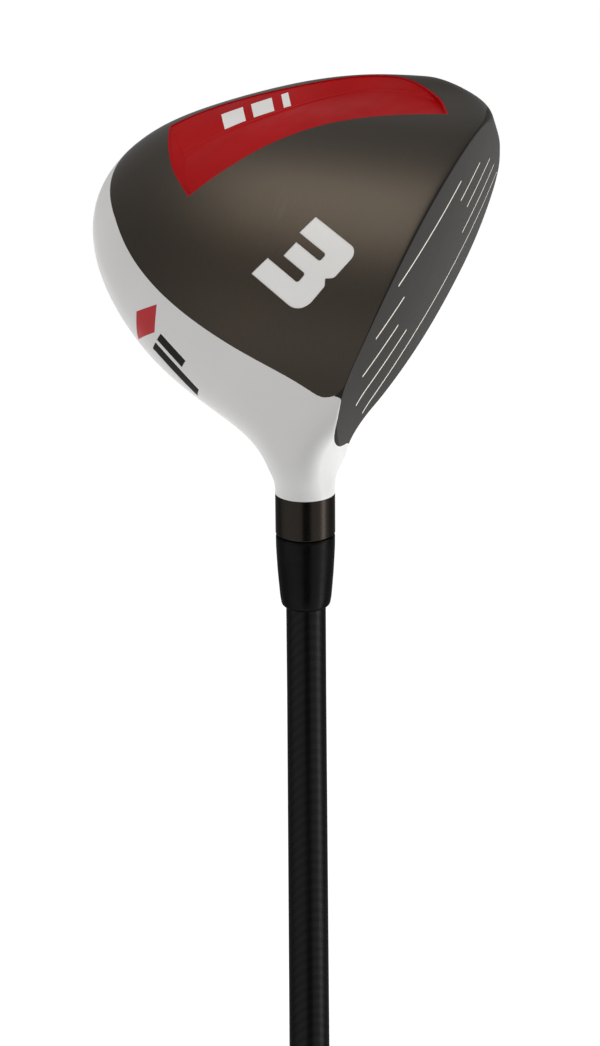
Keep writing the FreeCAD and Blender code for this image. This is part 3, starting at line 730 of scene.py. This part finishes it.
def channel_facets(p):
    """Depths of the channel's two long facets (as one) and of the bevel along its rear edge."""
    xy = p[:, :2]
    heel = distance_to_path(xy, CHANNEL_HEEL_EDGE)
    toe = distance_to_path(xy, CHANNEL_TOE_EDGE)
    crease = crease_distance(p)
    along = np.clip(((xy[:, 0] - 44.5) * 0.523 + (xy[:, 1] + 54.0) * 0.852) / 62.0, 0, 1)
    crease_depth = 2.4 - 1.2 * along
    fall = 0.8 + (crease_depth - 0.8) * heel / (heel + np.abs(crease))
    rise = 0.15 + (crease_depth - 0.15) * toe / (toe + np.abs(crease))
    bead = 0.28 * np.exp(-(crease / 0.42) ** 2)
    bevel = 0.12 + 0.75 * distance_to_path(xy, CHANNEL_REAR)
    return np.where(crease > 0, fall, rise) - bead, bevel


def bevel_line(p):
    """Changes sign where the bevel meets the facets."""
    deep, bevel = channel_facets(p)
    return deep - bevel


sheet.refine(near_channel)
sheet.cut(channel_distance, near_channel)
sheet.cut(lambda p: channel_distance(p) - LIP_WIDTH, near_channel)
for offset in (-0.6, -0.3, 0.0, 0.3, 0.6):
    sheet.cut(lambda p: crease_distance(p) - offset, near_channel)
sheet.cut(bevel_line, near_channel)
centre = sheet.centres()
sheet.tag[inside(centre[:, :2], CHANNEL_LOOP) & (sheet.tag == SOLE)] = CHANNEL
sheet.tag[(channel_distance(centre) < LIP_WIDTH) & (sheet.tag == CHANNEL)] = LIP


def unit(vector):
    return vector / np.linalg.norm(vector)


def rounded_corner(corners, i, steps=10):
    """The points that a corner (a, b) or (a, b, radius) stands for, and its circle if any."""
    at = np.array(corners[i][:2], float)
    radius = corners[i][2] if len(corners[i]) == 3 else 0.0
    if radius == 0:
        return at[None], None
    before = unit(np.array(corners[i - 1][:2]) - at)
    after = unit(np.array(corners[(i + 1) % len(corners)][:2]) - at)
    half = math.acos(before @ after) / 2
    middle = at + unit(before + after) * radius / math.sin(half)
    start = at + before * radius / math.tan(half)
    end = at + after * radius / math.tan(half)
    chord = start + (end - start) * np.linspace(0, 1, steps + 1)[:, None] - middle
    arc = middle + radius * chord / np.linalg.norm(chord, axis=1, keepdims=True)
    return arc, (middle, radius)


def cut_outline(corners, flat, home_tag, tag, depth, finer=True):
    """Cuts an outline, drawn in a plane, out of the tagged part of the surface."""
    rounds = [rounded_corner(corners, i) for i in range(len(corners))]
    outline = np.concatenate([points for points, _ in rounds])
    low, high = outline.min(0) - 1.2, outline.max(0) + 1.2

    def close(p):
        a = flat(p)
        return (a[:, :2] > low).all(1) & (a[:, :2] < high).all(1) & (np.abs(a[:, 2]) < depth)

    def close_to(path):
        def test(p):
            near = close(p)
            near[near] = distance_to_path(flat(p[near])[:, :2], path) < 0.9
            return near
        return test

    if finer:
        sheet.refine(close)
    for i, (points, circle) in enumerate(rounds):
        start, end = points[-1], rounds[(i + 1) % len(rounds)][0][0]
        line = unit(end - start)
        sheet.cut(lambda p: (flat(p)[:, :2] - start) @ np.array([-line[1], line[0]]),
                  close_to(np.array([start, end])))
        if circle is not None:
            middle, radius = circle
            sheet.cut(lambda p: np.linalg.norm(flat(p)[:, :2] - middle, axis=1) - radius,
                      close_to(points))
    a = flat(sheet.centres())
    chosen = inside(a[:, :2], outline) & (np.abs(a[:, 2]) < depth) & (sheet.tag == home_tag)
    sheet.tag[chosen] = tag


def plane(origin, across, up):
    """A function that gives points' places across, up and off a plane."""
    across = unit(np.array(across, float))
    up = np.array(up, float)
    up = unit(up - across * (across @ up))
    axes = np.stack([across, up, np.cross(across, up)], 1)
    return lambda p: (p - np.array(origin, float)) @ axes


# Score lines on the face: the height of each row and the ends of its lines.
SCORE_MIDDLE = 46.0
SCORE_HALF = 0.32
SCORE_ROWS = [
    (9.0, [(19.5, 52.5)]),
    (15.0, [(9.0, 22.0), (52.0, 64.5)]),
    (21.1, [(3.0, 19.0), (56.0, 72.0)]),
    (27.1, [(-0.5, 23.0), (53.5, 76.0)]),
    (33.2, [(2.5, 79.5)]),
]
for level, spans in SCORE_ROWS:
    row_plane = plane((SCORE_MIDDLE, 0.0, level), (1.0, 0.0, 0.05), (0.0, 0.0, 1.0))
    for start, end in spans:
        heel_end, toe_end = start - SCORE_MIDDLE, end - SCORE_MIDDLE
        line = [(heel_end, -SCORE_HALF), (toe_end, -SCORE_HALF),
                (toe_end, SCORE_HALF), (heel_end, SCORE_HALF)]
        cut_outline(line, row_plane, FACE, SCORE, depth=30, finer=False)

# The number on the sole; a third value at a corner is its radius.
NUMBER_OUTLINE = [
    (-8.2, -9.1), (8.3, -9.1, 4.0), (8.3, -1.2, 1.2), (7.1, 0.1), (8.7, 1.4, 1.2), (8.7, 9.1, 2.6),
    (-6.2, 9.1), (-6.2, 4.2), (3.0, 4.2, 0.6), (3.0, 2.2, 0.6), (-5.0, 2.2), (-5.0, -1.8),
    (2.4, -1.8, 0.6), (2.4, -4.3, 0.6), (-7.7, -4.3)]
number_plane = plane((19.0, -9.6, 3.4), (-6.5, 13.0, 2.3), (13.4, 10.4, -4.2))
cut_outline(NUMBER_OUTLINE, number_plane, SOLE, NUMBER, depth=9)

# The marks on the skirt.
DIAMOND_OUTLINE = [(-1.0, -4.8), (2.8, 0), (-1.0, 4.8), (-4.8, 0)]
SKIRT_BARS = [
    [(4.4, -0.9), (14.2, -0.9), (14.2, 0.8), (4.4, 0.8)],
    [(4.4, 1.5), (21.2, 1.5), (21.2, 3.1), (4.4, 3.1)],
]
skirt_plane = plane((4.3, -44.8, 13.9), (-10.4, 17.2, 3.6), (-2.2, -6.6, 3.7))
cut_outline(DIAMOND_OUTLINE, skirt_plane, CROWN, DIAMOND, depth=7)
for bar in SKIRT_BARS:
    cut_outline(bar, skirt_plane, CROWN, SKIRT_BAR, depth=7)

# The marks in the channel: slanted bars, each with its start and width.
CHANNEL_BARS = [(0.3, 5.3), (7.6, 5.0), (14.9, 1.7)]
BAR_HALF = 3.5
BAR_SLANT = 0.8
bar_plane = plane((60.1, -51.0, 9.0), (0.76, 0.65, 0.0), (0.65, -0.76, 0.0))
for start, width in CHANNEL_BARS:
    end = start + width
    slanted = [(start - BAR_SLANT, -BAR_HALF), (end - BAR_SLANT, -BAR_HALF),
               (end + BAR_SLANT, BAR_HALF), (start + BAR_SLANT, BAR_HALF)]
    cut_outline(slanted, bar_plane, CHANNEL, CHANNEL_BAR, depth=25)


# ------------------------------------------------------------------ the head's pieces

def surface_patch(tags, point=head_point):
    """The tagged part of the surface: its uv, triangles, places and normals."""
    used, tris = np.unique(sheet.tris[np.isin(sheet.tag, tags)], return_inverse=True)
    uv = sheet.uv[used]
    tris = tris.reshape(-1, 3)[:, ::-1]
    at = point(uv)
    side_a = at[tris[:, 1]] - at[tris[:, 0]]
    side_b = at[tris[:, 2]] - at[tris[:, 0]]
    tris = tris[np.linalg.norm(np.cross(side_a, side_b), axis=1) > 1e-7]
    return uv, tris, at, head_normal(uv, point)


def join(parts):
    """Joins (vertices, normals, triangles) parts into one."""
    offset = 0
    verts, norms, faces = [], [], []
    for v, n, f in parts:
        verts.append(v)
        norms.append(n)
        faces.append(f + offset)
        offset += len(v)
    return np.concatenate(verts), np.concatenate(norms), np.concatenate(faces)


def wall(uv, edges, upper, lower):
    """A band between two depths along directed edges, with flat normals."""
    a, b = edges[:, 0], edges[:, 1]
    corners = [upper(uv)[a], upper(uv)[b], lower(uv)[b], lower(uv)[a]]
    count = len(edges)
    index = np.arange(count)
    tris = np.concatenate([np.stack([index, index + count, index + 2 * count], 1),
                           np.stack([index, index + 2 * count, index + 3 * count], 1)])
    facing = np.cross(corners[1] - corners[0], corners[3] - corners[0])
    facing /= np.maximum(np.linalg.norm(facing, axis=1, keepdims=True), 1e-9)
    return np.concatenate(corners), np.tile(facing, (4, 1)), tris


def sunk(depth):
    """A function that gives places at a depth under the surface."""
    return lambda uv: head_point(uv) - depth * head_normal(uv)


def finish_piece(name, slot_name, parts, nodes):
    verts, normals, tris = join(parts)
    add_piece(name, slot_name, head_to_row(verts), tris, nodes, turn_to_row(normals))


LIP_SUNK = 0.05
BAR_RAISED = 0.03
PAINT_SUNK = {SCORE: 0.05, NUMBER: 0.12, DIAMOND: 0.05, SKIRT_BAR: 0.05}
WALL_SPARE = 0.05


def with_recesses(name, slot_name, own, holes, nodes):
    """A surface piece with the walls of the marks let into it."""
    _, tris, at, normals = surface_patch([own])
    parts = [(at, normals, tris)]
    for tag in holes:
        hole_uv, hole_tris, _, _ = surface_patch([tag])
        floor_at = sunk(PAINT_SUNK[tag] + WALL_SPARE)
        parts.append(wall(hole_uv, open_edges(hole_tris), head_point, floor_at))
    finish_piece(name, slot_name, parts, nodes)


def paint_piece(name, slot_name, tag, nodes):
    """The paint at the bottom of a mark's recess."""
    uv, tris, _, normals = surface_patch([tag])
    finish_piece(name, slot_name, [(sunk(PAINT_SUNK[tag])(uv), normals, tris)], nodes)


with_recesses("head_face", "face_finish", FACE, [SCORE], ["face_plate"])
paint_piece("score_lines", "score_fill", SCORE, ["score_paint"])
paint_piece("number_three", "mark_white", NUMBER, ["sole_number"])
with_recesses("head_crown", "crown_paint", CROWN, [DIAMOND, SKIRT_BAR], ["crown_shell"])
paint_piece("skirt_red_mark", "mark_red", DIAMOND, ["skirt_diamond"])
paint_piece("skirt_black_marks", "mark_black", SKIRT_BAR, ["skirt_bars"])


def channel_depth(p):
    """The shallower of facets and bevel, blended over a narrow width where they meet."""
    deep, bevel = channel_facets(p)
    blend = 0.06
    return -blend * np.logaddexp(-deep / blend, -bevel / blend)


def channel_point(uv):
    """Points of the channel's floor."""
    base = head_point(uv)
    return base - channel_depth(base)[:, None] * head_normal(uv)


def red_channel():
    """The channel's floor, its walls, and the narrow painted lip round it."""
    _, tris, at, normals = surface_patch([CHANNEL], channel_point)
    both_uv, both_tris, _, _ = surface_patch([CHANNEL, CHANNEL_BAR], channel_point)
    walls = wall(both_uv, open_edges(both_tris), sunk(LIP_SUNK), channel_point)
    lip_uv, lip_tris, _, lip_normals = surface_patch([LIP])
    lip = (sunk(LIP_SUNK)(lip_uv), lip_normals, lip_tris)
    finish_piece("red_channel", "channel_red", [(at, normals, tris), walls, lip], ["channel_inlay"])


def channel_marks():
    """The white bars, just above the channel's floor."""
    _, tris, at, normals = surface_patch([CHANNEL_BAR], channel_point)
    parts = [(at + BAR_RAISED * normals, normals, tris)]
    finish_piece("channel_white_marks", "mark_white", parts, ["channel_bars"])


red_channel()
channel_marks()
with_recesses("head_sole", "sole_finish", SOLE, [NUMBER], ["sole_plate"])

# ------------------------------------------------------------------ turned pieces

hosel_end_z = CLUB_LENGTH - HOSEL_END
collar_z = CLUB_LENGTH - COLLAR_START
collar = rounded([(4.4, hosel_end_z + 0.1), (6.1, hosel_end_z + 0.1), (HOSEL, hosel_end_z + 0.35),
                  (HOSEL, collar_z - 0.3), (HOSEL, collar_z), (5.6, collar_z + 0.1)], 0.15, 4)
turned_piece("hosel_ring", "collar_metal", collar, ["hosel_collar"], 160)

ferrule_end_z = hosel_end_z - 16.4
ferrule = rounded([
    (4.3, hosel_end_z), (6.0, hosel_end_z), (6.3, hosel_end_z - 0.45), (6.28, hosel_end_z - 3.0),
    (5.98, hosel_end_z - 8.5), (5.5, ferrule_end_z + 2.2), (5.2, ferrule_end_z + 0.5),
    (4.5, ferrule_end_z + 0.02), (4.2, ferrule_end_z)], 1.0, 6)
turned_piece("shaft_ferrule", "ferrule_black", ferrule, ["ferrule"], 160, 40)

SHAFT_TIP = 4.25
SHAFT_BUTT = 7.6
TAPER_STEPS = 40
butt_z = 4.0
parallel_z = ferrule_end_z - 20
tube = [(SHAFT_TIP, CLUB_LENGTH - 26.5), (SHAFT_TIP, parallel_z)]
for k in range(1, TAPER_STEPS + 1):
    t = k / TAPER_STEPS
    tube.append((SHAFT_TIP + (SHAFT_BUTT - SHAFT_TIP) * t, parallel_z + (butt_z - parallel_z) * t))
turned_piece("shaft_tube", "shaft_black", tube, ["shaft"], 160)

# ------------------------------------------------------------------ grip

GRIP_LENGTH = 266.0
CAP = 4.0
FLARE_Z = 34.0
BUTT_RADIUS = 13.4
FLARE_RADIUS = 12.7
MOUTH_RADIUS = 9.1


def grip_radius(z):
    """The plain grip: flared at the butt and tapered to its mouth."""
    share = np.clip((FLARE_Z - z) / (FLARE_Z - CAP), 0, 1)
    flare = FLARE_RADIUS + (BUTT_RADIUS - FLARE_RADIUS) * share ** 1.5
    along = np.clip((z - FLARE_Z) / (GRIP_LENGTH - FLARE_Z), 0, 1)
    taper = FLARE_RADIUS - (FLARE_RADIUS - MOUTH_RADIUS) * along
    return np.where(z < FLARE_Z, flare, taper)


def grip_relief(turn, z):
    """Depth of the moulded pattern: slanted slots in bands between plain rings."""
    columns = 20
    pitch = 5.2
    column = turn / (2 * np.pi) * columns
    lane = column - np.floor(column) - 0.5
    lean = np.where(np.floor(column) % 2 == 0, 1.0, -1.0)
    row = (z + lean * lane * 3.4) / pitch
    groove = np.abs(row - np.floor(row) - 0.5) * pitch
    slot = np.clip((0.85 - groove) / 0.35, 0, 1) * np.clip((0.40 - np.abs(lane)) / 0.06, 0, 1)
    lower = np.clip((z - 18) / 1.5, 0, 1) * np.clip((122 - z) / 1.5, 0, 1)
    upper = np.clip((z - 138) / 1.5, 0, 1) * np.clip((246 - z) / 1.5, 0, 1)
    rings = np.zeros_like(z)
    for at in (10.0, 13.0, 128.0, 132.0, 252.0, 256.0):
        rings += np.clip((0.7 - np.abs(z - at)) / 0.35, 0, 1)
    return 0.38 * slot * np.maximum(lower, upper) + 0.35 * rings


def rubber_grip(around=220, rows=640, bore=7.0):
    """The sleeve's outside with its pattern, rounded in to its mouth."""
    turn, height = np.meshgrid(2 * np.pi * np.arange(around) / around,
                               np.linspace(CAP, GRIP_LENGTH, rows))
    radius = grip_radius(height) - grip_relief(turn, height)
    radius -= 0.5 * np.clip((height - GRIP_LENGTH + 1.2) / 1.2, 0, 1) ** 2
    outside = np.stack([radius * np.cos(turn), radius * np.sin(turn), height], -1).reshape(-1, 3)
    index = np.arange(rows * around).reshape(rows, around)
    beside = np.roll(index, -1, axis=1)
    faces = np.stack([index[:-1], beside[:-1], beside[1:], index[1:]], -1).reshape(-1, 4)
    mouth = np.stack([bore * np.cos(turn[-1]), bore * np.sin(turn[-1]),
                      np.full(around, GRIP_LENGTH)], 1)
    mouth_index = np.arange(around) + len(outside)
    mouth_faces = np.stack([index[-1], beside[-1], np.roll(mouth_index, -1), mouth_index], 1)
    grip_verts = np.concatenate([outside, mouth])
    add_piece("rubber_grip", "grip_rubber", MM * grip_verts, np.concatenate([faces, mouth_faces]),
              ["grip_sleeve"], sharp=50)


rubber_grip()

cap = rounded([
    (1.5, CAP), (1.5, 0.0), (3.6, 0.0), (4.0, 0.35), (9.2, 0.35), (9.6, 0.0), (12.2, 0.0),
    (13.35, 1.1), (13.4, CAP - 0.35), (13.1, CAP)], 0.5, 5)
turned_piece("grip_end_cap", "grip_rubber", cap, ["grip_cap"], 160, 40)

# ------------------------------------------------------------------ stage and light

def flat_panel(name, half_width, half_height, material):
    """A rectangle of the stage, in the x-y plane until it is placed."""
    mesh = bpy.data.meshes.new(name)
    corners = [(-half_width, -half_height, 0), (half_width, -half_height, 0),
               (half_width, half_height, 0), (-half_width, half_height, 0)]
    mesh.from_pydata(corners, [], [(0, 1, 2, 3)])
    mesh.materials.append(material)
    panel = bpy.data.objects.new(name, mesh)
    bpy.context.scene.collection.objects.link(panel)
    return panel


def pale_paper():
    """Pale paper that glows a little, so that it fills the background evenly."""
    r = Recipe("pale_paper")
    cloud = r.ramp(r.noise(3.0, 3.0), 0.0, 1.0)
    r.colour(r.mix(cloud, (0.93, 0.93, 0.93), (0.90, 0.90, 0.90)))
    r.set(Roughness=0.9, Specular_IOR_Level=0.1)
    r.set(Emission_Color=(1.0, 1.0, 1.0, 1.0), Emission_Strength=0.64)
    r.bump(r.noise(180.0, 2.0), 0.02, 0.0005)
    return r.material


floor = flat_panel("floor", 14.0, 14.0, pale_paper())
floor.location.z = -0.0005

world = bpy.data.worlds.new("studio")
bpy.context.scene.world = world
world.use_nodes = True
world.node_tree.nodes["Background"].inputs["Color"].default_value = (1.0, 1.0, 1.0, 1.0)
world.node_tree.nodes["Background"].inputs["Strength"].default_value = 0.40

HEAD_AT = Vector((0.03, 0.02, 1.08))


def aim_at_head(thing, direction, distance):
    """Places a thing at a distance from the head, with its back to that direction."""
    direction = Vector(direction).normalized()
    thing.location = HEAD_AT + direction * distance
    thing.rotation_mode = "QUATERNION"
    thing.rotation_quaternion = direction.to_track_quat("Z", "Y")


def soft_light(name, direction, distance, width, height, power, tint=(1.0, 1.0, 1.0)):
    """A soft box in the given direction from the head, facing it."""
    light = bpy.data.lights.new(name, "AREA")
    light.shape = "RECTANGLE"
    light.size = width
    light.size_y = height
    light.energy = power
    light.color = tint
    lamp = bpy.data.objects.new(name, light)
    bpy.context.scene.collection.objects.link(lamp)
    aim_at_head(lamp, direction, distance)


soft_light("overhead_behind", (-0.04, 0.43, 0.90), distance=1.6, width=1.0, height=0.5, power=6.0,
           tint=(1.0, 0.95, 0.88))
soft_light("front_right", (0.35, -0.9, 0.35), distance=2.0, width=1.0, height=1.4, power=11.0)
soft_light("left", (-0.8, 0.45, 0.36), distance=2.2, width=1.2, height=1.4, power=5.0)
soft_light("right_strip", (0.21, -0.92, -0.35), distance=1.5, width=0.40, height=1.2, power=6.5)

# A dark card in front of the club and below the camera, seen only in reflections.
card = flat_panel("dark_card", 0.35, 0.6, moulded("black_card", (0.012, 0.012, 0.012), rough=0.9))
aim_at_head(card, (-0.78, -0.52, -0.36), 1.3)
card.visible_camera = False

# ------------------------------------------------------------------ camera

# The camera looks from the heel side and a little above. The hosel's paint line sits slightly off
# the middle of the picture, by the two slopes.
AZIMUTH = math.radians(-60.9)
ELEVATION = math.radians(20.3)
ROLL = math.radians(-0.49)
LENS = 102.0115
SENSOR = 36.0
CAMERA_DISTANCE = 0.6253
SLOPE_RIGHT = 0.0017206
SLOPE_UP = 0.0104926
PAINT_LINE = Vector((0.0, 0.0, MM * (CLUB_LENGTH - COLLAR_START)))

back = Vector((math.sin(AZIMUTH) * math.cos(ELEVATION), -math.cos(AZIMUTH) * math.cos(ELEVATION),
               math.sin(ELEVATION)))
level_side = Vector((math.cos(AZIMUTH), math.sin(AZIMUTH), 0.0))
over = back.cross(level_side)
right_axis = level_side * math.cos(ROLL) + over * math.sin(ROLL)
up_axis = over * math.cos(ROLL) - level_side * math.sin(ROLL)
camera_data = bpy.data.cameras.new("camera")
camera_data.lens = LENS
camera_data.sensor_width = SENSOR
camera_data.clip_start = 0.01
camera_data.clip_end = 100
camera = bpy.data.objects.new("camera", camera_data)
bpy.context.scene.collection.objects.link(camera)
camera.matrix_world = Matrix((
    (right_axis.x, up_axis.x, back.x, 0),
    (right_axis.y, up_axis.y, back.y, 0),
    (right_axis.z, up_axis.z, back.z, 0),
    (0, 0, 0, 1)))
ray = -back + SLOPE_RIGHT * right_axis + SLOPE_UP * up_axis
camera.location = PAINT_LINE - CAMERA_DISTANCE * ray
bpy.context.scene.camera = camera
bpy.context.scene.view_settings.view_transform = "Standard"
